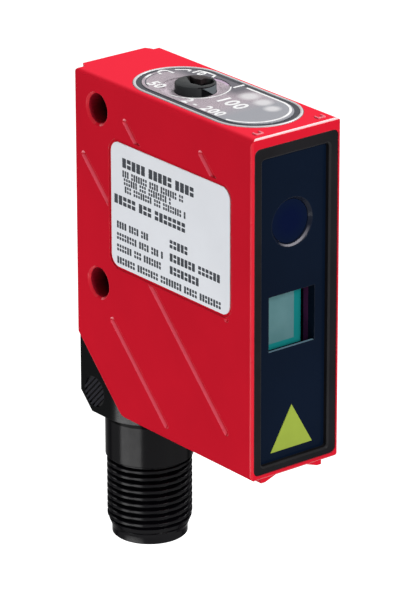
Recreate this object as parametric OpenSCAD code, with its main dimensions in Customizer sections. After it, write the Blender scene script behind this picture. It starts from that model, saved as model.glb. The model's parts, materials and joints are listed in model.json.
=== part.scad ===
// Optical distance sensor in a flat die-cast housing.
// The window is in front, the dial on top, and a plug connector swivels on the 45 degree cut of the rear corner.
// Units are millimetres. The origin is midway between the two fixing holes, on the middle plane of the housing.
// X runs across the housing, -Y looks out of the window and +Z points up to the dial.

/* [Housing] */
// Width across the two flat sides
body_w = 15; // [14.6:0.2:17]
// Depth from the front edge to the back face
body_d = 38; // [37:0.5:44]
// Height from the bottom to the top face
body_h = 48; // [47:0.5:56]
// Thickness of the two side walls
side_wall = 1.2; // [1.1:0.05:1.4]
// Thickness of the bottom and back walls
end_wall = 1.4; // [1.2:0.1:1.8]
// Thickness of the top wall
top_wall = 1.9; // [1.7:0.1:2.1]
// Radius of the edges along the flat sides
edge_r = 0.9; // [0.5:0.1:1]
// Radius of the edges round the front
front_r = 0.4; // [0.2:0.1:0.5]
// Length of the 45 degree corner cut, along each face
corner_cut = 10.3; // [10:0.1:11.5]
// Thickness of the wall behind the corner cut
swivel_wall = 2.2; // [2:0.1:2.6]

/* [Fixing] */
// Distance between the two through holes
hole_pitch = 25; // [24:0.5:26]
// Diameter of the through holes
hole_d = 4.2; // [3.6:0.1:4.6]
// Distance of the holes from the back face
hole_from_back = 5; // [4.8:0.1:5.5]
// Distance of the upper hole from the top face
hole_from_top = 4.5; // [4.3:0.1:5]
// Thickness of the tube wall round each hole
tube_wall = 1; // [0.8:0.1:1.1]
// Width of the chamfer at each mouth of the holes
mouth_chamfer = 0.3; // [0.1:0.1:0.5]
// Width of the rail on the back, at its root
rail_w = 11.6; // [10:0.2:12]
// Height of the rail above the back face
rail_h = 0.9; // [0.7:0.1:1.2]

/* [Side relief] */
// Depth of the diagonal grooves
groove_depth = 0.3; // [0.15:0.05:0.4]
// Width of the diagonal grooves
groove_w = 1; // [0.8:0.1:1.6]
// Distance from one diagonal groove to the next, along the depth
groove_pitch = 16.2; // [15.4:0.2:17]
// Length of the side label
label_l = 25.4; // [20:0.2:26]
// Height of the side label
label_h = 17.8; // [14:0.2:18.4]
// Thickness of the label
label_t = 0.15; // [0.1:0.01:0.18]
// Depth of the shallow recess that holds the label
label_recess = 0.2; // [0.18:0.01:0.25]
// Margin of the recess round the label
label_margin = 0.45; // [0.3:0.05:0.6]

/* [Window] */
// Width of the housing rim beside the window frame
rim_side = 0.45; // [0.4:0.05:0.55]
// Height of the housing rim above the window frame
rim_top = 1.5; // [1.3:0.1:1.7]
// Height of the housing rim below the window frame
rim_bottom = 0.65; // [0.5:0.05:0.8]
// Width of the frame's face at its sides
frame_face = 1.4; // [1.2:0.05:1.6]
// Height of the frame's face at the top
frame_top = 1.7; // [1.4:0.1:2]
// Height of the frame's face at the bottom
frame_bottom = 1.1; // [0.9:0.1:1.4]
// Depth of the window plate behind the face of the frame
plate_set = 0.8; // [0.6:0.1:1]
// Thickness of the window plate
plate_t = 1.1; // [1:0.1:1.4]
// Thickness of the seal behind the window plate
seal_t = 0.5; // [0.4:0.1:0.6]
// Distance of the laser axis from the top face
laser_from_top = 13.1; // [12.7:0.1:13.5]
// Diameter of the round laser recess at the face
laser_recess_d = 6.9; // [6.4:0.1:7.1]
// Distance of the receiver axis from the top face
receiver_from_top = 26.7; // [26.2:0.1:27.2]
// Width of the receiver opening
receiver_w = 7.8; // [7.4:0.1:8]
// Height of the receiver opening
receiver_h = 7.8; // [7.4:0.1:8.2]
// Depth of the receiver opening from the plate's face to the filter
receiver_deep = 2.8; // [2.5:0.1:3.1]
// How much lower than the opening the filter behind it reaches
filter_drop = 1.1; // [0.8:0.1:1.2]
// Side length of the plain triangular colour field
mark_side = 7.1; // [6:0.1:7.6]

/* [Dial] */
// Length of the dial opening in the top face
dial_l = 28.4; // [27.6:0.2:28.8]
// Width of the dial opening
dial_w = 13; // [12.4:0.1:13.2]
// Distance of the dial opening from the front face
dial_from_front = 2.3; // [2.3:0.1:3]
// Depth of the dial recess
dial_deep = 1.1; // [1:0.05:1.2]
// Width of the seal round the dial cover
dial_seal_w = 0.4; // [0.3:0.05:0.5]
// Width of the dark border between the seal and the printed film
dial_border = 0.8; // [0.6:0.1:1]
// Thickness of the printed film
film_t = 0.1; // [0.08:0.01:0.15]
// Distance of the knob's axis from the front face
knob_from_front = 21.1; // [20.6:0.1:21.6]
// Diameter of the knob
knob_d = 5.6; // [5.4:0.1:6.2]
// Height of the knob above the top face
knob_above = 1.05; // [0.8:0.05:1.3]
// Diameter of the shallow dish round the knob
dish_d = 9.4; // [8.8:0.1:9.6]
// Depth of the dish
dish_deep = 0.4; // [0.2:0.05:0.45]
// Direction of the knob's pointer at rest, from the back of the housing
knob_angle = -23; // [-180:1:180]
// Diameter of the round lamp windows in the dial
lamp_d = 1.8; // [1.6:0.1:2]

/* [Connector] */
// Distance of the stud's axis from the back face
stud_from_back = 6.4; // [6.3:0.05:6.6]
// Depth of the crossing of both axes behind the corner cut
pivot_inset = 0.7; // [0.5:0.05:0.8]
// Gap between the housing and the swivelling block
swivel_gap = 0.15; // [0.12:0.01:0.2]
// Distance of the block's sides behind the sides of the housing
block_set = 0.3; // [0.3:0.05:0.5]
// Distance from the crossing of the axes to the block's back and bottom
block_half = 6.1; // [6.1:0.05:6.25]
// Length of the chamfer at the block's outer corner
block_chamfer = 2.5; // [2:0.1:3]
// Diameter of the swivel spigot
spigot_d = 8; // [7.6:0.1:8.2]
// Major diameter of the connector thread
thread_d = 11.9; // [11.8:0.05:12]
// Length of the smooth collar above the thread
collar_l = 7.2; // [6.5:0.1:8.5]
// Length of the threaded stretch
thread_l = 8.7; // [8:0.1:10]
// Length of the tapered run-out of the thread
runout_l = 1.7; // [1.2:0.1:2]
// Length of the plain ring at the tip
tip_l = 1.1; // [0.8:0.1:1.5]
// Diameter of the cavity round the pins
socket_d = 8.8; // [8.6:0.1:9]
// Depth of the cavity round the pins
socket_deep = 8.2; // [7.5:0.1:9]
// Diameter of one contact pin
pin_d = 1; // [0.8:0.05:1.1]
// Diameter of the circle of the four outer pins
pin_circle_d = 5; // [4.8:0.1:5.2]

/* [Circuit boards] */
// Thickness of the boards
board_t = 0.8; // [0.6:0.1:1]
// Height of the rotary switch on the dial board
switch_h = 2.9; // [2.7:0.1:3]
// Side length of the rotary switch
switch_w = 8.4; // [7.8:0.1:8.6]
// Gap between the side wall and the main board
board_stand = 1; // [0.8:0.1:1.1]

/* [Optics] */
// Outer diameter of the laser barrel
barrel_d = 7.4; // [7:0.1:7.6]
// Length of the laser barrel
barrel_l = 12; // [11:0.2:13]
// Diameter of the collimator lens
collimator_d = 5.4; // [5:0.1:5.6]
// Diameter of the receiver lens
lens_d = 8.4; // [8:0.1:8.6]
// Distance from the lens carrier's front to the detector board
detector_back = 16.4; // [15:0.2:17]

/* [Hidden] */
$fn = 64;

// Clearances: between seated pieces, in running fits, and how far a cutting tool reaches past a face
fit = 0.05;
running = 0.06;
past = 1;

// Faces of the housing and of its cavity
half_w = body_w / 2;
back_y = hole_from_back;
front_y = back_y - body_d;
top_z = hole_pitch / 2 + hole_from_top;
bottom_z = top_z - body_h;
cavity_half = half_w - side_wall;
cavity_back = back_y - end_wall;
cavity_top = top_z - top_wall;
cavity_bottom = bottom_z + end_wall;
mid_y = (front_y + back_y) / 2;
mid_z = (top_z + bottom_z) / 2;
tube_r = hole_d / 2 + tube_wall;

// Rail on the back: how far its flanks lean inwards
rail_flank = 0.5;

// Diagonal grooves stay inside this field of the side face
groove_front = 5.3;
groove_back = 2;
groove_top = 4.75;
groove_bottom = 2.3;
groove_first = 5.3;
groove_hole_gap = 1.5;

// Label: its front and top edges from the front and top faces
label_from_front = 4.6;
label_from_top = 8;
label_r = 1.6;
label_y = front_y + label_from_front + label_l / 2;
label_z = top_z - label_from_top - label_h / 2;

// Lugs under the front edge and pads on top of it
lug_from_front = 0.75;
lug_l = 1.4;
lug_h = 0.9;
lug_low = 0.25;
lug_flat = 0.7;
lug_inner = 2.6;
lug_outer = 5.2;
pad_from_front = 1.1;
pad_x = 5.2;
pad_w = 1.3;
pad_l = 1;
pad_h = 0.15;

// Window: layers from the front face inwards
frame_set = 0.05;
frame_y = front_y + frame_set;
plate_y = frame_y + plate_set;
plate_back = plate_y + plate_t;
rebate_y = plate_back + seal_t;
rebate_w = body_w - 2 * rim_side;
rebate_h = body_h - rim_top - rim_bottom;
rebate_z = mid_z + (rim_bottom - rim_top) / 2;
rebate_r = 0.9;
sight_w = rebate_w - 2 * frame_face;
sight_h = rebate_h - frame_top - frame_bottom;
sight_z = rebate_z + (frame_bottom - frame_top) / 2;
plate_lap = 0.6;
laser_z = top_z - laser_from_top;
receiver_z = top_z - receiver_from_top;
laser_recess_t = 0.5;
laser_bore_d = laser_recess_d - 0.8;
hood_wall = 0.7;
opening_lip = 0.5;
filter_t = 0.8;
filter_z = receiver_z - filter_drop / 2;
filter_h = receiver_h + filter_drop;
hood_lip = 0.6;
filter_y = plate_y + receiver_deep;
hood_back = filter_y + filter_t + hood_lip;
mark_t = 0.08;
mark_from_bottom = 3;

// Dial: centres of the two round ends of its outline, and the layers downwards
dial_r = dial_w / 2;
dial_front_y = front_y + dial_from_front + dial_r;
dial_back_y = front_y + dial_from_front + dial_l - dial_r;
dial_floor = top_z - dial_deep;
dial_ledge = 1.3;
cover_r = dial_r - dial_seal_w - fit;
film_r = cover_r - dial_border;
knob_y = front_y + knob_from_front;
knob_top = top_z + knob_above;
knob_slot_w = 1.1;
knob_slot_deep = 1.2;
knob_step_deep = 0.75;
knob_edge = 0.25;
shaft_d = 3;
knob_seal_t = 0.5;
knob_seal_z = top_z - (dish_deep + dial_deep) / 2;
dish_floor_d = knob_d + 1;

// Dial board, hung under the top wall with the switch and the lamps on it
board_top = cavity_top - fit - switch_h;
dial_board_z = board_top - board_t;
dial_board_w = 2 * cavity_half - 1.2;
dial_board_front = front_y + 4.4;
dial_board_back = -tube_r - 0.4;
ledge_w = 1.1;
ledge_h = 1.1;
lamp_x = 3;
lamp_places = [13.4, 10.6, 7.8];
led_w = lamp_d * 0.9;
led_l = lamp_d * 0.7;
led_h = lamp_d * 0.4;

// Lens carrier and what it holds
carrier_y = hood_back + fit;
carrier_t = 4;
carrier_half = cavity_half - 0.1;
carrier_top = laser_z + barrel_d * 0.75;
carrier_bottom = receiver_z - lens_d * 0.95;
carrier_back = carrier_y + carrier_t;
arm_t = 1;
arm_top = receiver_z + lens_d / 2;
ring_l = 5;
shelf_t = 1.6;
detector_y = carrier_y + detector_back;
lens_seat = 0.6;
lens_t = 2.4;
foot_h = 3.6;
screw_d = 1.6;
screw_head_d = 2.8;
screw_head_t = 1;
screw_l = 7;
screw_x = -cavity_half + 2;
screw_boss_l = 5;
screw_boss_w = 3.6;
screw_places = [carrier_bottom - foot_h / 2, (laser_z + receiver_z) / 2 - 0.2];
barrel_y = plate_back + 0.6;
barrel_back = barrel_y + barrel_l;
collimator_t = 2;
diode_flange_d = 5.6;
diode_flange_t = 1.2;
diode_can_d = 4.4;
diode_can_l = 2.6;
diode_lead_d = 0.45;
diode_lead_l = 3;
diode_lead_r = 1.27;

// Main board along the right side wall, and the gap beside the carrier's shelf
main_board_x = cavity_half - board_stand - board_t;
shelf_x = main_board_x - 0.4;
main_board_front = carrier_back + ring_l + 1.5;
main_board_back = cavity_back - 0.8;
main_board_top = hole_pitch / 2 - tube_r - 0.6;
main_rib_w = 1.2;
main_rib_end = 3.2;

// Larger parts on the boards: their sizes along the depth and the height
chip_t = 1.1;
chip_gap = 1.6;
processor = [6, 6];
driver = [4.4, 5];
memory = [3.4, 4];
inductor = [3, 4.6];
detector_chip_w = lens_d * 0.38;
detector_chip_h = lens_d * 1.1;

// Swivel: the crossing of the spigot's and the stud's axes, and the layers along the spigot
stud_y = back_y - stud_from_back;
cut_line = back_y - corner_cut - bottom_z;
pivot_z = stud_y - cut_line + pivot_inset * sqrt(2);
main_board_bottom = pivot_z + spigot_d;
block_face = pivot_inset + swivel_gap;
inner_face = pivot_inset - swivel_wall;
clip_t = 0.6;
clip_gap = 0.1;
clip_wide = 1;
clip_groove = 0.7;
spigot_end = inner_face - clip_gap - clip_t - 0.8;
wire_bore_d = 4;
swivel_seal_t = 0.8;
swivel_seal_r = spigot_d / 2 + 1.15;
swivel_seal_deep = 0.7;
grip_d = 4.4;
grip_deep = 0.25;
grip_out = 4.3;
grip_pitch = 0.62;
grip_ribs = 6;

// Block, and the stud's levels from the block's underside to the tip
block_w = body_w - 2 * block_set;
block_bottom = pivot_z - block_half;
collar_d = thread_d + 0.4;
collar_roof = 1.2;
relief_l = 0.4;
relief_deep = 0.3;
thread_top = block_bottom - collar_l;
thread_bottom = thread_top - thread_l;
runout_bottom = thread_bottom - runout_l;
tip_z = runout_bottom - tip_l;
tip_d = thread_d - 1.3;
insert_face = tip_z + socket_deep;
insert_l = 5.6;
insert_top = insert_face + insert_l;
root_wall = 1.2;
root_d = wire_bore_d + 2 * root_wall;
root_l = 0.6;
chamber_d = socket_d - 0.8;
chamber_top = block_bottom - collar_roof;
key_w = 1;
key_h = 0.7;
key_set = 0.6;
key_sunk = 0.8;
pin_below = 1.4;
pin_tail = 1.4;
pin_fit = 0.02;

// Flat shapes

module rounded_rect(w, h, r) {
    square([w, h - 2 * r], center = true);
    square([w - 2 * r, h], center = true);
    for (sx = [-1, 1], sy = [-1, 1])
        translate([sx * (w / 2 - r), sy * (h / 2 - r)]) circle(r);
}

// Outline with two round ends, along the dial
module dial_outline(r) {
    translate([0, dial_front_y]) circle(r);
    translate([0, dial_back_y]) circle(r);
    translate([-r, dial_front_y]) square([2 * r, dial_back_y - dial_front_y]);
}

// Everything beyond the 45 degree corner cut, moved outwards by a gap, in the plane of depth and height
module beyond_cut(gap) {
    reach = 2 * body_d;
    translate([stud_y, pivot_z]) rotate(-45)
        translate([pivot_inset + gap, -reach / 2]) square([reach, reach]);
}

// Directions: a flat shape drawn in depth and height is given a width, and one in width and height a depth

module across(x0, x1) {
    translate([x0, 0, 0]) rotate([90, 0, 90]) linear_extrude(x1 - x0) children();
}

module deep(y0, y1) {
    translate([0, y1, 0]) rotate([90, 0, 0]) linear_extrude(y1 - y0) children();
}

module high(z0, z1) {
    translate([0, 0, z0]) linear_extrude(z1 - z0) children();
}

// Round things along the depth, and along the spigot of the swivel
module rod_y(d, y0, y1, x = 0, z = 0) {
    translate([x, y1, z]) rotate([90, 0, 0]) cylinder(d = d, h = y1 - y0);
}

module along_spigot() {
    translate([0, stud_y, pivot_z]) rotate([225, 0, 0]) children();
}

// Housing

module side_profile() {
    difference() {
        translate([mid_y, mid_z]) rounded_rect(body_d, body_h, front_r);
        beyond_cut(0);
    }
}

module outer_block() {
    intersection() {
        across(-half_w, half_w) side_profile();
        deep(front_y, back_y) translate([0, mid_z]) rounded_rect(body_w, body_h, edge_r);
        high(bottom_z, top_z) translate([0, mid_y]) rounded_rect(body_w, body_d, front_r);
    }
}

module rear_rail() {
    difference() {
        high(bottom_z + front_r, top_z) polygon([
            [-rail_w / 2, back_y - end_wall / 2], [-rail_w / 2, back_y],
            [-rail_w / 2 + rail_flank, back_y + rail_h], [rail_w / 2 - rail_flank, back_y + rail_h],
            [rail_w / 2, back_y], [rail_w / 2, back_y - end_wall / 2]
        ]);
        across(-body_w, body_w) beyond_cut(0);
    }
}

module front_lugs() {
    for (side = [0, 1]) mirror([side, 0, 0])
        deep(front_y + lug_from_front, front_y + lug_from_front + lug_l) polygon([
            [lug_inner, bottom_z + rim_bottom / 2], [lug_inner, bottom_z - lug_low],
            [lug_outer - lug_flat, bottom_z - lug_h], [lug_outer, bottom_z - lug_h],
            [lug_outer, bottom_z + rim_bottom / 2]
        ]);
}

module top_pads() {
    for (side = [-1, 1]) translate([side * pad_x, front_y + pad_from_front + pad_l / 2, 0])
        difference() {
            high(top_z - top_wall / 2, top_z + pad_h) rounded_rect(pad_w, pad_l, pad_l / 5);
            high(top_z, top_z + past) translate([0, pad_l / 5])
                rounded_rect(pad_w - pad_l / 2, pad_l * 0.8, pad_l / 7);
        }
}

module cavity_profile() {
    difference() {
        translate([front_y - past, cavity_bottom])
            square([cavity_back - front_y + past, cavity_top - cavity_bottom]);
        beyond_cut(-swivel_wall);
    }
}

module fixing_tubes() {
    for (z = [-hole_pitch / 2, hole_pitch / 2])
        translate([0, 0, z]) rotate([0, 90, 0]) cylinder(r = tube_r, h = body_w, center = true);
}

module board_ledges() {
    for (side = [0, 1]) mirror([side, 0, 0])
        translate([cavity_half - ledge_w, dial_board_front, dial_board_z - ledge_h])
            cube([ledge_w + side_wall / 2, dial_board_back - dial_board_front, ledge_h]);
}

module main_board_ribs() {
    rib_l = main_board_top - main_board_bottom - 2 * main_rib_end;
    for (y = [main_board_front + main_rib_w, main_board_back - main_rib_end - main_rib_w])
        translate([cavity_half - board_stand, y, main_board_bottom + main_rib_end])
            cube([board_stand + side_wall / 2, main_rib_w, rib_l]);
}

module screw_bosses() {
    for (z = screw_places)
        difference() {
            translate([-cavity_half - side_wall / 2, carrier_back, z - screw_boss_w / 2])
                cube([screw_x + cavity_half + screw_boss_w / 2 + side_wall / 2, screw_boss_l, screw_boss_w]);
            rod_y(screw_d + 2 * fit, carrier_back - past, carrier_back + screw_boss_l - 0.8, screw_x, z);
        }
}

module fixing_holes() {
    for (z = [-hole_pitch / 2, hole_pitch / 2]) translate([0, 0, z]) rotate([0, 90, 0]) {
        cylinder(d = hole_d, h = body_w + 2 * past, center = true);
        for (side = [0, 1]) mirror([0, 0, side]) translate([0, 0, half_w - mouth_chamfer])
            cylinder(d1 = hole_d, d2 = hole_d + 2 * (mouth_chamfer + past), h = mouth_chamfer + past);
    }
}

// One groove with round ends, from one point of the side face to another
module groove(from, to) {
    run = norm(to - from);
    lift = half_w + groove_w * groove_w / (8 * groove_depth) - groove_depth / 2;
    r = lift - half_w + groove_depth;
    translate([lift, from[0], from[1]]) rotate([atan2(to[1] - from[1], to[0] - from[0]), 0, 0]) {
        rotate([-90, 0, 0]) cylinder(r = r, h = run);
        sphere(r);
        translate([0, run, 0]) sphere(r);
    }
}

// Grooves run down to the front at 45 degrees, each cut off at the edges of the groove field
module grooves() {
    field_front = front_y + groove_front;
    field_back = back_y - groove_back;
    field_top = top_z - groove_top;
    field_bottom = bottom_z + groove_bottom;
    first = field_front - field_top + groove_first;
    for (i = [0 : 3]) {
        rise = first + i * groove_pitch;
        low_y = max(field_front, field_bottom + rise);
        hole_stop = -hole_d / 2 - groove_hole_gap + groove_w / 2;
        crosses_hole = abs(rise - hole_pitch / 2) < hole_d;
        high_y = min(field_back, field_top + rise, crosses_hole ? hole_stop : field_back);
        groove([low_y, low_y - rise], [high_y, high_y - rise]);
    }
}

module label_outline(margin) {
    translate([label_y, label_z]) rounded_rect(label_l + 2 * margin, label_h + 2 * margin, label_r + margin);
}

module housing() color([0.74, 0.09, 0.15]) {
    difference() {
        union() {
            outer_block();
            rear_rail();
            front_lugs();
            top_pads();
        }
        difference() {
            across(-cavity_half, cavity_half) cavity_profile();
            fixing_tubes();
            board_ledges();
            main_board_ribs();
            screw_bosses();
        }
        deep(front_y - past, rebate_y) translate([0, rebate_z]) rounded_rect(rebate_w, rebate_h, rebate_r);
        high(dial_floor, top_z + past) dial_outline(dial_r);
        high(cavity_top - past, top_z) dial_outline(dial_r - dial_ledge);
        fixing_holes();
        grooves();
        mirror([1, 0, 0]) difference() {
            grooves();
            across(0, body_w) label_outline(label_margin + groove_w / 4);
        }
        across(-half_w - past, -half_w + label_recess) label_outline(label_margin);
        along_spigot() translate([0, 0, inner_face - past])
            cylinder(d = spigot_d + 2 * running, h = swivel_wall + 2 * past);
    }
}

module side_label() color([0.88, 0.89, 0.91])
    across(-half_w + label_recess - label_t, -half_w + label_recess) label_outline(0);

// Window

module front_frame() color([0.1, 0.1, 0.11])
    difference() {
        deep(frame_y, plate_back) translate([0, rebate_z])
            rounded_rect(rebate_w - 2 * fit, rebate_h - 2 * fit, rebate_r - fit);
        deep(frame_y - past, plate_back + past) translate([0, sight_z])
            rounded_rect(sight_w, sight_h, rebate_r / 2);
        deep(plate_y, plate_back + past) translate([0, sight_z])
            rounded_rect(sight_w + 2 * plate_lap, sight_h + 2 * plate_lap, rebate_r / 2);
    }

module window_plate() color([0.06, 0.08, 0.16])
    difference() {
        union() {
            deep(plate_y, plate_back) translate([0, sight_z])
                rounded_rect(sight_w + 2 * (plate_lap - fit), sight_h + 2 * (plate_lap - fit), rebate_r / 2 - fit);
            deep(plate_back - plate_t / 2, hood_back) translate([0, filter_z])
                rounded_rect(receiver_w + 2 * hood_wall, filter_h + 2 * hood_wall, hood_wall);
        }
        translate([0, plate_y, laser_z]) rotate([-90, 0, 0])
            cylinder(d1 = laser_recess_d, d2 = laser_bore_d, h = laser_recess_t);
        rod_y(laser_bore_d, plate_y, plate_back + past, 0, laser_z);
        deep(plate_y - past, filter_y) translate([0, receiver_z]) square([receiver_w, receiver_h], true);
        deep(plate_y + opening_lip, filter_y + filter_t) translate([0, filter_z])
            square([receiver_w, filter_h], true);
        deep(filter_y, hood_back + past) translate([0, receiver_z])
            square([receiver_w - 2 * hood_lip, receiver_h - 2 * hood_lip], true);
    }

module window_seal() color([0.16, 0.16, 0.17])
    difference() {
        deep(plate_back, rebate_y) translate([0, rebate_z])
            rounded_rect(rebate_w - 4 * fit, rebate_h - 4 * fit, rebate_r - 2 * fit);
        deep(plate_back - past, rebate_y + past) translate([0, sight_z])
            rounded_rect(sight_w, sight_h - 1, rebate_r);
    }

module laser_window() color([0.05, 0.1, 0.25])
    rod_y(laser_bore_d - 2 * fit, plate_y + laser_recess_t + fit, plate_back, 0, laser_z);

module receiver_filter() color([0.35, 0.52, 0.54])
    deep(filter_y, filter_y + filter_t) translate([0, filter_z])
        square([receiver_w - 2 * fit, filter_h - 2 * fit], true);

// Plain triangle on the window plate, point up
module front_mark() color([0.65, 0.75, 0.16])
    deep(plate_y - mark_t, plate_y) translate([0, bottom_z + mark_from_bottom])
        polygon([[-mark_side / 2, 0], [mark_side / 2, 0], [0, mark_side * sqrt(3) / 2]]);

// Dial

module dial_seal() color([0.75, 0.76, 0.78])
    difference() {
        high(dial_floor, top_z + fit) dial_outline(dial_r - fit);
        high(dial_floor - past, top_z + past) dial_outline(dial_r - dial_seal_w);
    }

module dial_cover() color([0.25, 0.26, 0.3])
    difference() {
        high(dial_floor, top_z) dial_outline(cover_r);
        translate([0, knob_y, dial_floor - past])
            cylinder(d = knob_d + 2 * running, h = dial_deep + 2 * past);
        translate([0, knob_y, top_z - dish_deep]) cylinder(d1 = dish_floor_d, d2 = dish_d, h = dish_deep);
    }

module dial_film() color([0.62, 0.6, 0.64])
    difference() {
        high(top_z, top_z + film_t) dial_outline(film_r);
        translate([0, knob_y, top_z - past]) cylinder(d = dish_d, h = 2 * past);
    }

// A slot for a screwdriver along the pointer, and a shallower step between the slot's front end and the right
module knob_slot() {
    translate([0, knob_y, 0]) rotate(knob_angle) {
        high(knob_top - knob_slot_deep, knob_top + past) square([knob_slot_w, 2 * knob_d], true);
        high(knob_top - knob_step_deep, knob_top + past) translate([0, -knob_d]) square(knob_d);
    }
}

module knob_seal_groove() {
    translate([0, knob_y, knob_seal_z]) difference() {
        cylinder(d = knob_d + past, h = knob_seal_t, center = true);
        cylinder(d = knob_d - 2 * knob_seal_t + 2 * fit, h = knob_seal_t, center = true);
    }
}

module rotary_knob() color([0.12, 0.12, 0.13])
    difference() {
        translate([0, knob_y, 0]) union() {
            high(cavity_top + fit, knob_top - knob_edge) circle(d = knob_d);
            translate([0, 0, knob_top - knob_edge])
                cylinder(d1 = knob_d, d2 = knob_d - 2 * knob_edge, h = knob_edge);
            high(board_top + 0.6, cavity_top + past) circle(d = shaft_d);
        }
        knob_slot();
        knob_seal_groove();
    }

module knob_seal() color([0.2, 0.2, 0.2])
    translate([0, knob_y, knob_seal_z]) rotate_extrude()
        translate([knob_d / 2 - knob_seal_t / 2 + fit / 2, 0]) circle(d = knob_seal_t - fit, $fn = 32);

module rotary_switch() color([0.18, 0.18, 0.2])
    difference() {
        translate([0, knob_y, 0]) high(board_top, board_top + switch_h) rounded_rect(switch_w, switch_w, 0.8);
        translate([0, knob_y, board_top + 0.5]) cylinder(d = shaft_d + 2 * running, h = switch_h);
    }

module dial_board() color([0.05, 0.4, 0.25])
    translate([-dial_board_w / 2, dial_board_front, dial_board_z])
        cube([dial_board_w, dial_board_back - dial_board_front, board_t]);

module at_lamps() {
    for (from_front = lamp_places) translate([lamp_x, front_y + from_front, 0]) children();
}

module status_leds() color([0.9, 0.9, 0.8])
    at_lamps() high(board_top, board_top + led_h) square([led_w, led_l], center = true);

module light_guides() color([0.85, 0.88, 0.9])
    at_lamps() high(board_top + led_h, dial_floor) circle(d = lamp_d);

// Main board

module main_board() color([0.05, 0.4, 0.25])
    difference() {
        across(main_board_x, main_board_x + board_t) difference() {
            translate([main_board_front, main_board_bottom])
                square([main_board_back - main_board_front, main_board_top - main_board_bottom]);
            beyond_cut(-swivel_wall - 2);
        }
        translate([0, 0, -hole_pitch / 2]) rotate([0, 90, 0]) cylinder(r = tube_r + 0.4, h = body_w);
    }

module chip(y, z, size, t) {
    translate([main_board_x - t, y, z]) cube([t, size[0], size[1]]);
}

module main_chips() color([0.1, 0.1, 0.1]) {
    behind_shelf = detector_y + board_t + shelf_t + chip_gap / 2;
    chip(behind_shelf, arm_top + chip_gap / 4, processor, chip_t);
    chip(main_board_front + chip_gap, arm_top + 2 * chip_gap, driver, chip_t);
    chip(behind_shelf, arm_top - memory[1] - chip_gap, memory, chip_t * 0.8);
    corner = [main_board_back - chip_gap, main_board_top - chip_gap] - inductor;
    chip(corner[0], corner[1], inductor, chip_t * 1.4);
}

// Optics

module lens_bores() {
    rod_y(barrel_d + 2 * fit, carrier_y - past, carrier_back + 2 * barrel_l, 0, laser_z);
    deep(carrier_y - past, carrier_y + past) translate([0, receiver_z])
        square([receiver_w - 2 * hood_lip, receiver_h - 2 * hood_lip], true);
    rod_y(lens_d + 2 * fit, carrier_y + lens_seat, carrier_y + lens_seat + lens_t + fit, 0, receiver_z);
    rod_y(lens_d - 1, carrier_y + past, carrier_back + past, 0, receiver_z);
}

module optics_carrier() color([0.14, 0.14, 0.15])
    difference() {
        union() {
            deep(carrier_y, carrier_back) translate([0, (carrier_top + carrier_bottom) / 2])
                square([2 * carrier_half, carrier_top - carrier_bottom], true);
            rod_y(barrel_d + 2 * arm_t, carrier_back - past, carrier_back + ring_l, 0, laser_z);
            translate([-carrier_half, carrier_y, carrier_bottom - foot_h])
                cube([screw_x + carrier_half + screw_boss_w / 2, carrier_t, foot_h + past]);
            translate([-carrier_half, carrier_back - past, carrier_bottom])
                cube([arm_t, detector_y + board_t + shelf_t - carrier_back + past, arm_top - carrier_bottom]);
            translate([-carrier_half, detector_y + board_t, carrier_bottom])
                cube([carrier_half + shelf_x, shelf_t, arm_top - carrier_bottom]);
        }
        lens_bores();
        for (z = screw_places) {
            rod_y(screw_d + 4 * fit, carrier_y - past, carrier_back + past, screw_x, z);
            rod_y(screw_head_d + 2 * fit, carrier_y - past, carrier_y + screw_head_t, screw_x, z);
        }
    }

module carrier_screws() color([0.7, 0.7, 0.72])
    for (z = screw_places) difference() {
        union() {
            rod_y(screw_head_d, carrier_y, carrier_y + screw_head_t, screw_x, z);
            rod_y(screw_d, carrier_y + screw_head_t / 2, carrier_y + screw_l, screw_x, z);
        }
        translate([screw_x, carrier_y, z]) cube([screw_head_d * 1.2, 0.9, 0.35], center = true);
    }

module laser_barrel() color([0.8, 0.65, 0.3])
    difference() {
        rod_y(barrel_d, barrel_y, barrel_back, 0, laser_z);
        rod_y(collimator_d - 0.8, barrel_y - past, barrel_back + past, 0, laser_z);
        rod_y(collimator_d + 2 * fit, barrel_y - past, barrel_y + 1 + collimator_t, 0, laser_z);
        seat_y = barrel_back - diode_can_l - diode_flange_t - 1;
        rod_y(diode_flange_d + 2 * fit, seat_y, barrel_back + past, 0, laser_z);
    }

module collimator_lens() color([0.8, 0.88, 0.92])
    translate([0, barrel_y + 1 + collimator_t, laser_z]) rotate([90, 0, 0]) intersection() {
        cylinder(d = collimator_d, h = collimator_t);
        translate([0, 0, collimator_t - collimator_d]) sphere(collimator_d, $fn = 96);
    }

module laser_diode() color([0.78, 0.72, 0.5]) {
    flange_y = barrel_back - diode_flange_t - 1;
    rod_y(diode_flange_d, flange_y, flange_y + diode_flange_t, 0, laser_z);
    rod_y(diode_can_d, flange_y - diode_can_l, flange_y, 0, laser_z);
    leads_y = flange_y + diode_flange_t;
    for (a = [90, 210, 330]) translate([diode_lead_r * cos(a), 0, laser_z + diode_lead_r * sin(a)])
        rod_y(diode_lead_d, leads_y, leads_y + diode_lead_l);
}

// Plano-convex: the flat side looks forward
module receiver_lens() color([0.8, 0.88, 0.92])
    translate([0, carrier_y + lens_seat, receiver_z]) rotate([-90, 0, 0]) intersection() {
        cylinder(d = lens_d, h = lens_t);
        translate([0, 0, lens_t - lens_d]) sphere(lens_d, $fn = 96);
    }

module detector_board() color([0.05, 0.4, 0.25])
    translate([-carrier_half + arm_t + fit, detector_y, carrier_bottom + fit])
        cube([carrier_half + shelf_x - arm_t - fit, board_t, arm_top - carrier_bottom - 2 * fit]);

module detector_chip() color([0.12, 0.12, 0.14])
    translate([-detector_chip_w / 2, detector_y - chip_t, receiver_z - detector_chip_h * 0.65])
        cube([detector_chip_w, chip_t, detector_chip_h]);

// Swivelling connector, modelled with the stud pointing down

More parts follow.
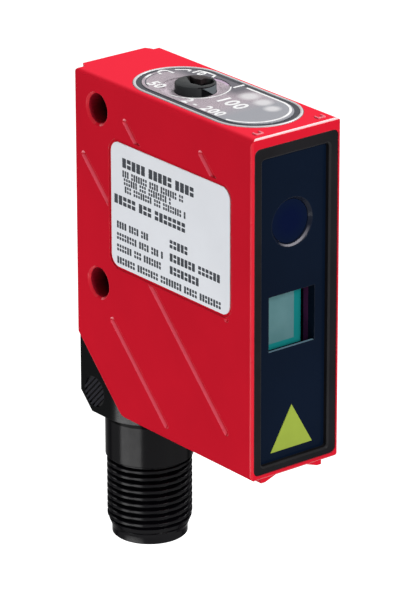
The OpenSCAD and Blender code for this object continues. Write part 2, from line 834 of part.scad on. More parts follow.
// Plan of the block: half round towards the front, square towards the back
module block_plan() {
    translate([0, stud_y]) circle(d = block_w);
    translate([-block_w / 2, stud_y]) square([block_w, block_half]);
}

module block_profile() {
    front = stud_y - block_w;
    back = stud_y + block_half;
    top = pivot_z + block_w;
    intersection() {
        beyond_cut(swivel_gap);
        polygon([
            [front, block_bottom], [back - block_chamfer, block_bottom], [back, block_bottom + block_chamfer],
            [back, top], [front, top]
        ]);
    }
}

module stud_rod(d, z0, z1) {
    translate([0, stud_y, z0]) cylinder(d = d, h = z1 - z0);
}

// Ribs in a round recess on each side of the block, along the spigot
module grips() {
    for (side = [0, 1]) mirror([side, 0, 0]) along_spigot() translate([block_w / 2 - grip_deep, 0, grip_out])
        difference() {
            rotate([0, 90, 0]) cylinder(d = grip_d, h = grip_deep + past);
            for (i = [0 : grip_ribs - 1])
                translate([0, (i - (grip_ribs - 1) / 2) * grip_pitch - grip_pitch / 4, -grip_d / 2])
                    cube([grip_deep, grip_pitch / 2, grip_d]);
        }
}

// Bores for the leads: up from the stud, then through the spigot into the housing
module lead_bores() {
    stud_rod(wire_bore_d, block_bottom - past, pivot_z);
    along_spigot() translate([0, 0, spigot_end - past]) cylinder(d = wire_bore_d, h = past - spigot_end + 2);
}

// Grooves round the spigot for the seal, in the block's face, and for the clip, inside the housing
module spigot_grooves() {
    along_spigot() {
        translate([0, 0, block_face - past]) difference() {
            cylinder(r = swivel_seal_r + swivel_seal_t / 2 + fit, h = past + swivel_seal_deep);
            cylinder(r = swivel_seal_r - swivel_seal_t / 2 - fit, h = past + swivel_seal_deep);
        }
        translate([0, 0, inner_face - clip_gap - clip_t - fit]) difference() {
            cylinder(d = spigot_d + past, h = clip_t + 2 * fit);
            cylinder(d = spigot_d - 2 * clip_groove, h = clip_t + 2 * fit);
        }
    }
}

module swivel_block() color([0.11, 0.11, 0.12])
    difference() {
        union() {
            intersection() {
                high(block_bottom, pivot_z + block_w) block_plan();
                across(-block_w, block_w) block_profile();
            }
            along_spigot() translate([0, 0, spigot_end]) cylinder(d = spigot_d, h = block_face - spigot_end + 1);
        }
        stud_rod(root_d + 2 * fit, block_bottom - past, block_bottom + root_l);
        lead_bores();
        spigot_grooves();
        grips();
    }

// The stud is pressed into the block by its root, and its collar is cut off where it would rub on the housing
module threaded_stud() color([0.12, 0.12, 0.13]) {
    difference() {
        union() {
            stud_rod(root_d, block_bottom, block_bottom + root_l);
            stud_rod(collar_d, thread_top + relief_l, block_bottom);
            stud_rod(thread_d - 2 * relief_deep, thread_top - past, block_bottom);
            stud_rod(thread_d, thread_bottom, thread_top);
            translate([0, stud_y, runout_bottom]) cylinder(d1 = tip_d, d2 = thread_d, h = runout_l);
            stud_rod(tip_d, tip_z, runout_bottom);
        }
        stud_rod(socket_d, tip_z - past, insert_top);
        stud_rod(chamber_d, insert_top - past, chamber_top);
        stud_rod(wire_bore_d, chamber_top - past, block_bottom + root_l + past);
        across(-body_w, body_w) difference() {
            translate([stud_y - body_w, thread_top]) square([2 * body_w, collar_l + root_l + past]);
            beyond_cut(swivel_gap);
        }
    }
    key_wall = (tip_d - socket_d) / 4;
    translate([-key_w / 2, stud_y + socket_d / 2 - key_h, tip_z + key_set])
        cube([key_w, key_h + key_wall, socket_deep - key_set + key_sunk]);
}

module swivel_seal() color([0.16, 0.16, 0.16])
    along_spigot() translate([0, 0, block_face + swivel_seal_deep - swivel_seal_t / 2])
        rotate_extrude() translate([swivel_seal_r, 0]) circle(d = swivel_seal_t, $fn = 32);

// Open clip in the groove of the spigot
module swivel_clip() color([0.7, 0.7, 0.72])
    along_spigot() translate([0, 0, inner_face - clip_gap - clip_t]) difference() {
        cylinder(d = spigot_d + 2 * clip_wide, h = clip_t);
        translate([0, 0, -past]) cylinder(d = spigot_d - 2 * clip_groove + 2 * fit, h = clip_t + 2 * past);
        translate([-spigot_d * 0.3, 0, -past]) cube([spigot_d * 0.6, spigot_d, clip_t + 2 * past]);
    }

module at_pins() {
    translate([0, stud_y, 0]) {
        children();
        for (a = [45 : 90 : 315]) rotate(a) translate([pin_circle_d / 2, 0, 0]) children();
    }
}

module contact_insert() color([0.13, 0.13, 0.14])
    difference() {
        stud_rod(socket_d - 2 * fit, insert_face, insert_top);
        at_pins() translate([0, 0, insert_face - past])
            cylinder(d = pin_d + 2 * pin_fit, h = insert_l + 2 * past, $fn = 32);
        translate([-key_w / 2 - fit, stud_y + socket_d / 2 - key_h - fit, insert_face - past])
            cube([key_w + 2 * fit, 2 * key_h, past + key_sunk + fit]);
    }

module contact_pins() color([0.85, 0.7, 0.35])
    at_pins() translate([0, 0, tip_z + pin_below]) {
        straight = insert_top + pin_tail - tip_z - pin_below - pin_d / 2;
        translate([0, 0, pin_d / 2]) cylinder(d = pin_d, h = straight, $fn = 32);
        translate([0, 0, pin_d / 2]) sphere(d = pin_d, $fn = 32);
    }

housing();
side_label();
front_frame();
window_plate();
window_seal();
laser_window();
receiver_filter();
front_mark();
dial_cover();
dial_seal();
dial_film();
rotary_knob();
knob_seal();
rotary_switch();
dial_board();
status_leds();
light_guides();
main_board();
main_chips();
optics_carrier();
carrier_screws();
laser_barrel();
collimator_lens();
laser_diode();
receiver_lens();
detector_board();
detector_chip();
swivel_block();
threaded_stud();
swivel_seal();
swivel_clip();
contact_insert();
contact_pins();
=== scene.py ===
import json
import math
import random

import bpy
from mathutils import Matrix, Vector


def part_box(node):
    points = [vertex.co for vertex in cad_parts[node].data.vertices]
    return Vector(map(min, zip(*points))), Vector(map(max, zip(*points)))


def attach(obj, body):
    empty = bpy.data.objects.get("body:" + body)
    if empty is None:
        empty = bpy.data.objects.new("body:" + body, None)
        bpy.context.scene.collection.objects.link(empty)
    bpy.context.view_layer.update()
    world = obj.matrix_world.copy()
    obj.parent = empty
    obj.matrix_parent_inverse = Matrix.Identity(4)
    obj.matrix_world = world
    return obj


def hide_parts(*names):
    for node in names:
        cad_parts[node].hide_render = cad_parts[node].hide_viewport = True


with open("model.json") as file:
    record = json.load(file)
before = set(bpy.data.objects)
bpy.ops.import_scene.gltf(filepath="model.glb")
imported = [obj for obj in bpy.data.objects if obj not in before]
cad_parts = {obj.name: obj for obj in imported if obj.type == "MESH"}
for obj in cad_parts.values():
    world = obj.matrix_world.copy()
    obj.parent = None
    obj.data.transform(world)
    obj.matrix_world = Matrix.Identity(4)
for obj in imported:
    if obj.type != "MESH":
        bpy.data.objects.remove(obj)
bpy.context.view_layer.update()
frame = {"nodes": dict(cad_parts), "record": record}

MM = 0.001
NODES = frame["nodes"]
MOUNT_SIZES = {mount["name"]: mount["dims"] for mount in frame["record"]["mounts"]}
JOINTS = {joint["name"]: joint for joint in frame["record"]["behaviour"]["joints"]}


# Places and sizes in millimetres, taken from the frame where it has them

def box_mm(node):
    low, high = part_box(node)
    return low / MM, high / MM


COVER_LOW, COVER_HIGH = box_mm("dial_cover")
KNOB_LOW, KNOB_HIGH = box_mm("rotary_knob")
LABEL_LOW, LABEL_HIGH = box_mm("side_label")
STUD_LOW, STUD_HIGH = box_mm("threaded_stud")
FRAME_LOW, FRAME_HIGH = box_mm("front_frame")
LENS_LOW, LENS_HIGH = box_mm("laser_window")
FILTER_LOW, FILTER_HIGH = box_mm("receiver_filter")
PLATE_LOW = box_mm("window_plate")[0]
FILM_TOP = box_mm("dial_film")[1].z
BODY_HALF = box_mm("housing")[1].x
BLOCK_HALF = box_mm("swivel_block")[1].x

FRAME_SETBACK = 0.05
BODY_HEIGHT = 48.0
FRONT_Y = FRAME_LOW.y - FRAME_SETBACK
TOP_Z = COVER_HIGH.z
BOTTOM_Z = TOP_Z - BODY_HEIGHT
VIEW_CENTRE = Vector((0, -14, -7))

HOLE_RADIUS = MOUNT_SIZES["mounting_holes"]["hole_r_mm"]
HOLE_SPACING = MOUNT_SIZES["mounting_holes"]["spacing_y_mm"]
HOLE_HEIGHTS = (-HOLE_SPACING / 2, HOLE_SPACING / 2)

LENS_Z = (LENS_LOW.z + LENS_HIGH.z) / 2
FILTER_FIT = 0.05

# The knob in the photo ends a little lower than the solid
KNOB_LOWER = 0.12
KNOB_Y = (KNOB_LOW.y + KNOB_HIGH.y) / 2
KNOB_TOP = KNOB_HIGH.z - KNOB_LOWER
KNOB_RADIUS = 2.8
KNOB_POCKET = 1.0
DISH_RADIUS = 4.7

PIVOT = Vector(JOINTS["connector_swivel"]["pos_m"]) / MM
GRIP_CENTRE = (1.64, -29.15)
GRIP_RADIUS = 2.2

THREAD_RADIUS = MOUNT_SIZES["connector_thread"]["r_mm"]
THREAD_LENGTH = MOUNT_SIZES["connector_thread"]["length_mm"]
THREAD_PITCH = 1.0
THREAD_DEPTH = 0.6
TIP_RADIUS = 5.3
TIP_LENGTH = 1.1
RUNOUT_LENGTH = 1.7
COLLAR_LENGTH = 7.2
STUD_Y = (STUD_LOW.y + STUD_HIGH.y) / 2
STUD_TIP = STUD_LOW.z
RUNOUT_LOW = STUD_TIP + TIP_LENGTH
THREAD_LOW = RUNOUT_LOW + RUNOUT_LENGTH
THREAD_TOP = THREAD_LOW + THREAD_LENGTH
COLLAR_TOP = THREAD_TOP + COLLAR_LENGTH
SOCKET_RADIUS = 4.4


# Shader helpers

class Shader:
    """A node material with a Principled shader, painted by place in the object's own coordinates."""

    def __init__(self, name, colour, roughness, specular=0.5, metallic=0.0):
        self.material = bpy.data.materials.new(name)
        self.material.use_nodes = True
        self.nodes = self.material.node_tree.nodes
        self.links = self.material.node_tree.links
        self.bsdf = self.nodes["Principled BSDF"]
        self.coords = self.nodes.new("ShaderNodeTexCoord").outputs["Object"]
        self.colour = colour
        self.roughness = roughness
        self.set("Base Color", (*colour, 1.0))
        self.set("Roughness", roughness)
        self.set("Specular IOR Level", specular)
        self.set("Metallic", metallic)

    def set(self, socket, value):
        self.bsdf.inputs[socket].default_value = value

    def join(self, source, target):
        self.links.new(source, target)

    def paint(self, colour):
        self.join(colour, self.bsdf.inputs["Base Color"])

    def noise(self, scale, detail=3.0):
        texture = self.nodes.new("ShaderNodeTexNoise")
        texture.inputs["Scale"].default_value = scale
        texture.inputs["Detail"].default_value = detail
        self.join(self.coords, texture.inputs["Vector"])
        return texture.outputs["Fac"]

    def maths(self, operation, first, second=None):
        node = self.nodes.new("ShaderNodeMath")
        node.operation = operation
        for socket, value in zip(node.inputs, (first, second)):
            if value is None:
                continue
            if isinstance(value, (int, float)):
                socket.default_value = value
            else:
                self.join(value, socket)
        return node.outputs["Value"]

    def size(self, value):
        return self.maths("ABSOLUTE", value)

    def larger(self, first, second):
        return self.maths("MAXIMUM", first, second)

    def smaller(self, first, second):
        return self.maths("MINIMUM", first, second)

    def minus(self, first, second):
        return self.maths("SUBTRACT", first, second)

    def product(self, first, *others):
        """The product of several values; of masks, the place where all of them hold."""
        for other in others:
            first = self.maths("MULTIPLY", first, other)
        return first

    def above(self, value, limit):
        return self.maths("GREATER_THAN", value, limit)

    def below(self, value, limit):
        return self.maths("LESS_THAN", value, limit)

    def inside(self, value, low, high):
        """1 where a value lies between two others."""
        return self.product(self.above(value, low), self.below(value, high))

    def spread(self, value, low, high, from_low=0.3, from_high=0.7):
        """Maps a varying value to a range."""
        ranged = self.nodes.new("ShaderNodeMapRange")
        self.join(value, ranged.inputs["Value"])
        ranged.inputs["From Min"].default_value = from_low
        ranged.inputs["From Max"].default_value = from_high
        ranged.inputs["To Min"].default_value = low
        ranged.inputs["To Max"].default_value = high
        return ranged.outputs["Result"]

    def rise(self, value, start, end):
        return self.spread(value, 0, 1, start, end)

    def fall(self, value, start, end):
        return self.spread(value, 1, 0, start, end)

    def blend(self, factor, first, second):
        """Mixes two colours, each a tuple or an output, by a varying factor."""
        mix = self.nodes.new("ShaderNodeMix")
        mix.data_type = "RGBA"
        self.join(factor, mix.inputs["Factor"])
        for socket, value in ((mix.inputs[6], first), (mix.inputs[7], second)):
            if isinstance(value, tuple):
                socket.default_value = (*value, 1.0)
            else:
                self.join(value, socket)
        return mix.outputs[2]

    def parts(self, vector):
        """The three parts of a vector."""
        split = self.nodes.new("ShaderNodeSeparateXYZ")
        self.join(vector, split.inputs["Vector"])
        return split.outputs["X"], split.outputs["Y"], split.outputs["Z"]

    def axes(self):
        """The place along the three axes, in millimetres."""
        scaled = self.nodes.new("ShaderNodeVectorMath")
        scaled.operation = "SCALE"
        scaled.inputs["Scale"].default_value = 1 / MM
        self.join(self.coords, scaled.inputs[0])
        return self.parts(scaled.outputs["Vector"])

    def directions(self, normal):
        """A normal's share along each of the object's own axes."""
        turned = self.nodes.new("ShaderNodeVectorTransform")
        turned.vector_type = "NORMAL"
        turned.convert_from, turned.convert_to = "WORLD", "OBJECT"
        self.join(normal, turned.inputs["Vector"])
        return self.parts(turned.outputs["Vector"])

    def facing(self):
        """The surface's own direction along the three axes."""
        return self.directions(self.nodes.new("ShaderNodeNewGeometry").outputs["Normal"])

    def rounded_normal(self, radius):
        """The surface's direction as if its edges had a radius, in millimetres."""
        bevel = self.nodes.new("ShaderNodeBevel")
        bevel.samples = 6
        bevel.inputs["Radius"].default_value = radius * MM
        return bevel.outputs["Normal"]

    def radius(self, first, second, centre):
        """Distance from a line along the third axis."""
        squares = (
            self.maths("POWER", self.minus(value, at), 2)
            for value, at in zip((first, second), centre)
        )
        return self.maths("SQRT", self.maths("ADD", *squares))

    def vary(self, amount, scale, rough_amount=0.06, rough_scale=420):
        """Slow changes of tone and gloss, as handling and moulding leave them."""
        dark = tuple(c * (1 - amount) for c in self.colour)
        light = tuple(min(1.0, c * (1 + amount)) for c in self.colour)
        tone = self.blend(self.spread(self.noise(scale), 0, 1), dark, light)
        self.paint(tone)
        least, most = self.roughness - rough_amount, self.roughness + rough_amount
        self.join(self.spread(self.noise(rough_scale), least, most), self.bsdf.inputs["Roughness"])
        return tone

    def edge_gloss(self, flat, rounded, radius, along_x=False):
        """One gloss for flat faces, and a stronger one for edges and all that isn't square to the axes."""
        x, y, z = (self.size(part) for part in self.directions(self.rounded_normal(radius)))
        squareness = self.larger(self.larger(x, y), z)
        if along_x:
            squareness = self.larger(squareness, self.below(y, 0.15))
        gloss = self.spread(squareness, rounded, flat, 0.95, 0.998)
        self.join(gloss, self.bsdf.inputs["Specular IOR Level"])

    def dull_rim(self, gloss, least=0.0, share=1.0):
        """A gloss that fades where the surface turns away, as on a fine matte moulding."""
        turned = self.nodes.new("ShaderNodeLayerWeight").outputs["Facing"]
        faded = self.spread(turned, gloss, least, 0.2, 0.55)
        self.join(self.product(faded, share), self.bsdf.inputs["Specular IOR Level"])

    def relief(self, scale, strength, distance, edge=0.0):
        """Fine bump, over edges that are rounded by a radius. Both lengths are in millimetres."""
        bump = self.nodes.new("ShaderNodeBump")
        bump.inputs["Strength"].default_value = strength
        bump.inputs["Distance"].default_value = distance * MM
        self.join(self.noise(scale, 4.0), bump.inputs["Height"])
        if edge:
            self.join(self.rounded_normal(edge), bump.inputs["Normal"])
        self.join(bump.outputs["Normal"], self.bsdf.inputs["Normal"])


# Materials of the housing and its label

def paint_top_light(shader, tone, z, side_y, side_z):
    """Painted light: a paler top where light falls, paler pads as painted highlights, and a painted
    highlight along its front edge.
    """
    # painted light: faces turned upward are paler
    tone = shader.blend(shader.rise(side_z, 0.8, 0.98), tone, (0.66, 0.022, 0.043))
    slanted = shader.product(shader.inside(side_z, 0.42, 0.93), shader.below(side_y, -0.35))
    front_edge_highlight = shader.product(slanted, shader.above(z, TOP_Z - 1))
    # painted highlight along the front edge of the top
    tone = shader.blend(front_edge_highlight, tone, (0.78, 0.47, 0.48))
    on_pads = shader.above(z, TOP_Z + 0.03)
    # painted highlights on the pads
    return shader.blend(on_pads, tone, (0.66, 0.16, 0.20))


def paint_groove_light(shader, tone, near_hole, side_x, side_y, side_z):
    """Grooves with a painted highlight on one flank, painted shade on the other and a painted highlight at
    the upper end.
    """
    clear_of_hole = shader.above(near_hole, HOLE_RADIUS + 0.8)
    on_groove = shader.product(clear_of_hole, shader.above(shader.size(side_x), 0.2))
    up = shader.smaller(side_z, shader.product(side_y, -1))
    down = shader.smaller(side_y, shader.product(side_z, -1))
    lit_flank = shader.product(on_groove, shader.rise(up, 0.08, 0.4))
    dark = shader.product(on_groove, shader.rise(down, 0.15, 0.32))
    lit_upper_end = shader.product(on_groove, shader.fall(shader.larger(side_y, side_z), -0.3, -0.15))
    tone = shader.blend(lit_flank, tone, (0.95, 0.10, 0.15))
    # painted shade on the flank that faces down
    tone = shader.blend(dark, tone, (0.16, 0.002, 0.006))
    return shader.blend(lit_upper_end, tone, (0.98, 0.30, 0.36))


def paint_hole_shade(shader, tone, from_middle, near_hole):
    """Cross holes with painted shade that deepens with depth."""
    depth = shader.fall(from_middle, BODY_HALF - 3, BODY_HALF - 0.7)
    bore_shade = shader.blend(depth, (0.38, 0.010, 0.026), (0.03, 0.005, 0.006))
    under_face = shader.below(from_middle, BODY_HALF - 0.35)
    in_hole = shader.product(shader.below(near_hole, HOLE_RADIUS + 0.4), under_face)
    return shader.blend(in_hole, tone, bore_shade)


def red_paint():
    """Red, with painted light on the top, painted highlight and shade in the grooves, and painted shade in
    the holes.
    """
    edge = 0.12
    shader = Shader("red_paint", (0.64, 0.0115, 0.028), 0.32)
    tone = shader.vary(amount=0.04, scale=90, rough_amount=0.05, rough_scale=600)
    x, y, z = shader.axes()
    side_x, side_y, side_z = shader.facing()
    near_hole = shader.smaller(*(shader.radius(y, z, (0, height)) for height in HOLE_HEIGHTS))
    tone = paint_top_light(shader, tone, z, side_y, side_z)
    tone = paint_groove_light(shader, tone, near_hole, side_x, side_y, side_z)
    shader.paint(paint_hole_shade(shader, tone, shader.size(x), near_hole))
    shader.edge_gloss(0.0, 0.18, edge, along_x=True)
    shader.relief(1500, 0.08, 0.03, edge)
    return shader.material


def label_film():
    shader = Shader("label_film", (0.88, 0.905, 0.95), 0.42, specular=0.05)
    shader.vary(amount=0.02, scale=160, rough_amount=0.05)
    shader.relief(2600, 0.05, 0.02)
    return shader.material


def print_ink(name, colour):
    shader = Shader(name, colour, 0.5, specular=0.1)
    shader.vary(amount=0.12, scale=900, rough_amount=0.08)
    shader.relief(4000, 0.06, 0.01)
    return shader.material


# Materials of the connector, the frame and the inner parts

def moulded(name, colour, roughness, specular, rough_amount=0.07):
    """The shader of a dark moulded plastic, and its slowly changing tone."""
    shader = Shader(name, colour, roughness, specular=specular)
    tone = shader.vary(amount=0.15, scale=220, rough_amount=rough_amount, rough_scale=900)
    return shader, tone


def frame_plastic():
    """Black, with glossier edges."""
    flat, edge = 0.02, 0.1
    shader, _ = moulded("frame_black", (0.0120, 0.0114, 0.0128), 0.42, flat)
    shader.edge_gloss(flat, 0.12, edge)
    shader.relief(3000, 0.12, 0.03, edge)
    return shader.material


def inner_plastic():
    shader, _ = moulded("inner_black", (0.02, 0.02, 0.022), 0.5, 0.1)
    shader.relief(3000, 0.12, 0.03)
    return shader.material


def stud_plastic():
    """Black, with a line of shadow where the collar meets the block."""
    gloss, shadow_height, shadow_gloss = 0.09, 0.95, 0.3
    shader, tone = moulded("stud_black", (0.0018, 0.0016, 0.0026), 0.21, gloss, rough_amount=0.02)
    z = shader.axes()[2]
    below_line = shader.below(z, COLLAR_TOP - shadow_height)
    shader.paint(shader.blend(below_line, (0.0012, 0.0012, 0.0015), tone))
    shader.dull_rim(gloss, 0.003, shader.spread(below_line, shadow_gloss, 1, 0, 1))
    shader.relief(3000, 0.03, 0.03, edge=0.1)
    return shader.material


def block_plastic():
    """Black, with greyer ribs in the round grips, and duller on its flat sides."""
    gloss = 0.13
    shader, tone = moulded("block_black", (0.0007, 0.0010, 0.0014), 0.26, gloss, rough_amount=0.03)
    x, y, z = shader.axes()
    out = shader.size(x)
    in_grip = shader.below(shader.radius(y, z, GRIP_CENTRE), GRIP_RADIUS)
    on_rib = shader.above(out, BLOCK_HALF - 0.1)
    ribs = shader.blend(on_rib, (0.003, 0.003, 0.004), (0.0214, 0.0214, 0.027))
    shader.paint(shader.blend(in_grip, tone, ribs))
    flatness = shader.spread(out, 1.6, 0.4, BLOCK_HALF - 0.25, BLOCK_HALF - 0.02)
    shader.dull_rim(gloss, share=flatness)
    shader.relief(3000, 0.12, 0.03, edge=0.1)
    return shader.material


def rubber():
    shader = Shader("seal_rubber", (0.02, 0.02, 0.022), 0.72, specular=0.3)
    shader.vary(amount=0.2, scale=300, rough_amount=0.08)
    shader.relief(3600, 0.2, 0.03)
    return shader.material


def light_plastic():
    shader = Shader("light_plastic", (0.42, 0.42, 0.43), 0.34, specular=0.3)
    shader.vary(amount=0.1, scale=300)
    shader.relief(2600, 0.06, 0.02)
    return shader.material


def circuit_board():
    shader = Shader("circuit_board", (0.01, 0.14, 0.06), 0.35, specular=0.5)
    shader.vary(amount=0.15, scale=800)
    shader.relief(2400, 0.1, 0.02)
    return shader.material


def clear_glass(name, colour):
    shader = Shader(name, colour, 0.05, specular=0.5)
    shader.set("Transmission Weight", 0.9)
    shader.set("IOR", 1.5)
    shader.relief(400, 0.01, 0.01)
    return shader.material


def metal(name, colour, roughness):
    shader = Shader(name, colour, roughness, specular=0.5, metallic=1.0)
    shader.vary(amount=0.06, scale=500, rough_amount=0.06, rough_scale=1500)
    shader.relief(3000, 0.06, 0.01)
    return shader.material


# Materials of the window

def paint_opening(shader, tone, x, y, z):
    """Side walls of the square opening that turn to magenta and then to black with depth, the black being
    painted shade, and a painted highlight on its lip.
    """
    line, filter_drop = 0.04, 1.1
    wall_x = FILTER_HIGH.x + FILTER_FIT
    lip_z = FILTER_LOW.z - FILTER_FIT + filter_drop
    out = shader.size(x)
    depth = shader.maths("DIVIDE", shader.minus(y, PLATE_LOW.y), FILTER_LOW.y - PLATE_LOW.y)
    # painted shade: the deepest part of the walls is black
    deep = shader.blend(shader.above(depth, 0.82), (0.075, 0.015, 0.062), (0.002, 0.002, 0.005))
    on_wall = shader.product(
        shader.inside(out, wall_x - line, wall_x + line),
        shader.inside(depth, 0.47, 1.02),
    )
    tone = shader.blend(on_wall, tone, deep)
    # painted highlight along the lip
    lip_highlight = shader.product(
        shader.inside(z, lip_z - line, lip_z + 1.5 * line),
        shader.inside(depth, 0.02, 0.3),
        shader.below(out, wall_x),
    )
    return shader.blend(lip_highlight, tone, (0.16, 0.26, 0.33))


def paint_recess(shader, tone, x, y, z):
    """A painted highlight: a pale crescent on the lower wall of the round recess, between angles in
    radians.
    """
    inner, outer = 2.9, 3.44
    recess = LENS_LOW.y - PLATE_LOW.y
    in_recess = shader.inside(shader.radius(x, z, (0, LENS_Z)), inner, outer)
    angle = shader.maths("ARCTAN2", shader.minus(z, LENS_Z), x)
    highlight_crescent = shader.product(
        shader.rise(angle, -2.3, -1.8),
        shader.fall(angle, -1.15, -0.35),
        shader.inside(y, PLATE_LOW.y + recess * 0.15, PLATE_LOW.y + recess * 0.65),
    )
    wall = shader.blend(highlight_crescent, (0.003, 0.006, 0.016), (0.26, 0.25, 0.28))
    return shader.blend(in_recess, tone, wall)


def window_plastic():
    """Navy, with a magenta wall, painted shade and a painted highlight in the square opening, and a painted
    highlight in the round recess.
    """
    edge = 0.12
    shader = Shader("window_plastic", (0.0030, 0.0070, 0.0175), 0.24)
    tone = shader.vary(amount=0.12, scale=70, rough_amount=0.04, rough_scale=300)
    x, y, z = shader.axes()
    tone = paint_opening(shader, tone, x, y, z)
    shader.paint(paint_recess(shader, tone, x, y, z))
    shader.edge_gloss(0.015, 0.12, edge)
    shader.relief(900, 0.03, 0.02, edge)
    return shader.material


def laser_glass():
    """Dark blue, and a little greyer towards its rim."""
    shader = Shader("laser_glass", (0.0015, 0.006, 0.026), 0.12, specular=0.015)
    x, _, z = shader.axes()
    to_rim = shader.rise(shader.radius(x, z, (0, LENS_Z)), 1.2, 2.9)
    shader.paint(shader.blend(to_rim, (0.0012, 0.0045, 0.028), (0.0020, 0.0065, 0.025)))
    shader.relief(700, 0.02, 0.02)
    return shader.material


def filter_glass():
    """Blue-green, with a teal strip along the right and lower edges and two small coloured spots of painted
    reflection.
    """
    dark, light = (0.080, 0.185, 0.195), (0.105, 0.22, 0.235)
    # painted reflections: place across, height above the lower edge and colour of each
    spots = ((-3.2, 3.7, (0.85, 0.32, 0.25)), (-1.9, 4.4, (0.36, 0.28, 0.55)))
    shader = Shader("filter_glass", (0.09, 0.20, 0.21), 0.16, specular=0.06)
    x, _, z = shader.axes()
    tone = shader.blend(shader.spread(shader.noise(240), 0, 1), dark, light)
    right = shader.rise(x, FILTER_HIGH.x - 1.25, FILTER_HIGH.x - 1.1)
    low = shader.fall(z, FILTER_LOW.z + 0.75, FILTER_LOW.z + 0.9)
    tone = shader.blend(shader.larger(right, low), tone, (0.008, 0.19, 0.19))
    for side, height, colour in spots:
        radius = shader.radius(x, z, (side, FILTER_LOW.z + height))
        tone = shader.blend(shader.spread(radius, 0.8, 0, 0.1, 0.35), tone, colour)
    shader.paint(tone)
    shader.relief(500, 0.03, 0.03)
    return shader.material


def mark_print():
    shader = Shader("mark_print", (0.30, 0.385, 0.055), 0.5, specular=0.03)
    shader.vary(amount=0.05, scale=300)
    shader.relief(3000, 0.05, 0.02)
    return shader.material


# Materials of the dial

def speckled(shader, paler=1.0):
    """Fine grain of the silver film with slow changes of tone, plainer towards the front."""
    dark, light, middle = (
        tuple(c * paler for c in colour)
        for colour in ((0.19, 0.157, 0.176), (0.42, 0.353, 0.39), (0.24, 0.21, 0.24))
    )
    tone = shader.blend(shader.rise(shader.noise(5200, 2.0), 0.35, 0.65), dark, light)
    tone = shader.blend(shader.spread(shader.noise(260), 0, 0.5), tone, middle)
    y = shader.axes()[1]
    plain = shader.spread(y, 0.9, 0, FRONT_Y + 9, FRONT_Y + 13)
    return shader.blend(plain, tone, (0.220, 0.230, 0.252))


def cover_plastic():
    """Dark grey; the dish round the knob has the film's grain and a lilac crescent at its back right that
    is a painted highlight.
    """
    shader, tone = moulded("cover_plastic", (0.028, 0.031, 0.040), 0.25, 0.05)
    x, y, _ = shader.axes()
    radius = shader.radius(x, y, (0, KNOB_Y))
    tone = shader.blend(shader.below(radius, DISH_RADIUS + 0.02), tone, speckled(shader, 1.25))
    angle = shader.maths("ARCTAN2", shader.minus(y, KNOB_Y), x)
    at_rim = shader.inside(radius, DISH_RADIUS - 0.35, DISH_RADIUS)
    # painted highlight on the back right of the dish's wall
    highlight_crescent = shader.product(shader.inside(angle, -0.4, 0.5), at_rim)
    shader.paint(shader.blend(highlight_crescent, tone, (0.50, 0.38, 0.50)))
    shader.relief(5200, 0.1, 0.02)
    return shader.material


def knob_plastic():
    """Dark grey and browner at the back right, with a painted highlight on the pointer and painted shade in
    the notch and the pocket.
    """
    inner, outer = KNOB_RADIUS - 0.03, KNOB_RADIUS - 0.02
    shader, tone = moulded("knob_black", (0.022, 0.0235, 0.0245), 0.45, 0.05)
    x, y, z = shader.axes()
    off_y = shader.minus(y, KNOB_Y)
    radius = shader.radius(x, y, (0, KNOB_Y))
    angle = shader.maths("ARCTAN2", off_y, x)
    above_dish = shader.above(z, TOP_Z - 0.4)
    back_right = shader.product(shader.rise(x, 0.4, 0.8), shader.rise(off_y, -0.3, 0.1))
    tone = shader.blend(back_right, tone, (0.020, 0.0145, 0.0155))
    round_front = shader.product(
        shader.inside(angle, math.radians(-112), 0),
        shader.spread(angle, 1, 0.3, -1.2, -0.5),
    )
    # painted highlight on the pointer's outer wall
    pointer_highlight = shader.product(round_front, shader.above(radius, outer), above_dish)
    tone = shader.blend(pointer_highlight, tone, (0.105, 0.120, 0.128))
    # painted shade in the pocket and the notch
    pit_shade = shader.below(z, KNOB_TOP - KNOB_POCKET + 0.3)
    notch_shade = shader.product(shader.below(off_y, -2.3), shader.below(z, KNOB_TOP - 0.02))
    dark = shader.product(shader.larger(pit_shade, notch_shade), shader.below(radius, inner), above_dish)
    shader.paint(shader.blend(dark, tone, (0.003, 0.003, 0.004)))
    shader.relief(3000, 0.12, 0.03, edge=0.2)
    return shader.material


def dial_print():
    """Speckled silver film, darker at its back right, with three pale spots over the lamps."""
    spots = ((3.2, 13.7, 1.8), (3.0, 10.6, 1.6), (2.35, 7.9, 1.4))
    shader = Shader("dial_print", (0.17, 0.15, 0.17), 0.4, specular=0.12)
    tone = speckled(shader)
    x, y, _ = shader.axes()
    back_right = shader.product(shader.rise(x, 0.8, 3.0), shader.rise(y, FRONT_Y + 13.8, FRONT_Y + 16.5))
    tone = shader.blend(back_right, tone, (0.085, 0.080, 0.095))
    for lamp_x, from_front, size in spots:
        radius = shader.radius(x, y, (lamp_x, FRONT_Y + from_front))
        glow = shader.spread(radius, 0.8, 0, size * 0.45, size)
        tone = shader.blend(glow, tone, (0.55, 0.54, 0.55))
    shader.paint(tone)
    shader.relief(5200, 0.15, 0.02)
    return shader.material


FRAME_BLACK = frame_plastic()
INNER_BLACK = inner_plastic()
STUD_BLACK = stud_plastic()
KNOB_BLACK = knob_plastic()
RUBBER = rubber()
WHITE_INK = print_ink("white_ink", (0.66, 0.66, 0.66))
DARK_INK = print_ink("dark_ink", (0.05, 0.056, 0.068))
LIGHT_PLASTIC = light_plastic()
BOARD = circuit_board()
STEEL = metal("plated_steel", (0.62, 0.62, 0.64), 0.35)
BRASS = metal("brass", (0.72, 0.52, 0.22), 0.32)
GOLD = metal("gold_plate", (0.83, 0.62, 0.27), 0.25)

